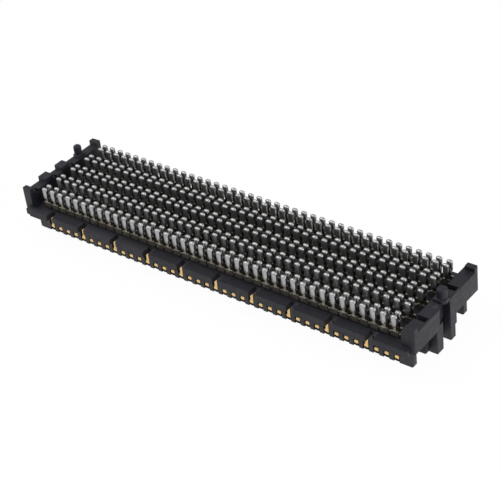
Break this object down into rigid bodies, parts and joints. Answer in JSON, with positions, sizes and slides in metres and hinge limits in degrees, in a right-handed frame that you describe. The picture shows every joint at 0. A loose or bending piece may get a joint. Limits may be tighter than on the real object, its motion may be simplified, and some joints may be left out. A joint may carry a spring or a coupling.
{
  "type": "board to board connector",
  "caption": "Board to board connector with an open field of contact rows on moulded ribs, solder charges on the board side and two locating pegs.",
  "frame": {"origin": "middle of the footprint, at the foot of the guide keys that the part stands on", "axes": "+X along the contact rows towards the end with the large peg, +Z from the mating side to the board side"},
  "size_m": [0.0554, 0.0142, 0.0071],
  "materials": {
    "housing": "moulded black liquid crystal polymer, matt with faint flow marks",
    "contact": "stamped copper alloy, gold plated at the mating end over nickel",
    "solder": "satin grey tin solder"
  },
  "bodies": {
    "root": {"housing": "housing", "terminals_row_01": "contact", "terminals_row_02": "contact", "terminals_row_03": "contact", "terminals_row_04": "contact", "terminals_row_05": "contact", "terminals_row_06": "contact", "terminals_row_07": "contact", "terminals_row_08": "contact", "terminals_row_09": "contact", "terminals_row_10": "contact", "solder_charges_row_01": "solder", "solder_charges_row_02": "solder", "solder_charges_row_03": "solder", "solder_charges_row_04": "solder", "solder_charges_row_05": "solder", "solder_charges_row_06": "solder", "solder_charges_row_07": "solder", "solder_charges_row_08": "solder", "solder_charges_row_09": "solder", "solder_charges_row_10": "solder"}
  },
  "joints": []
}
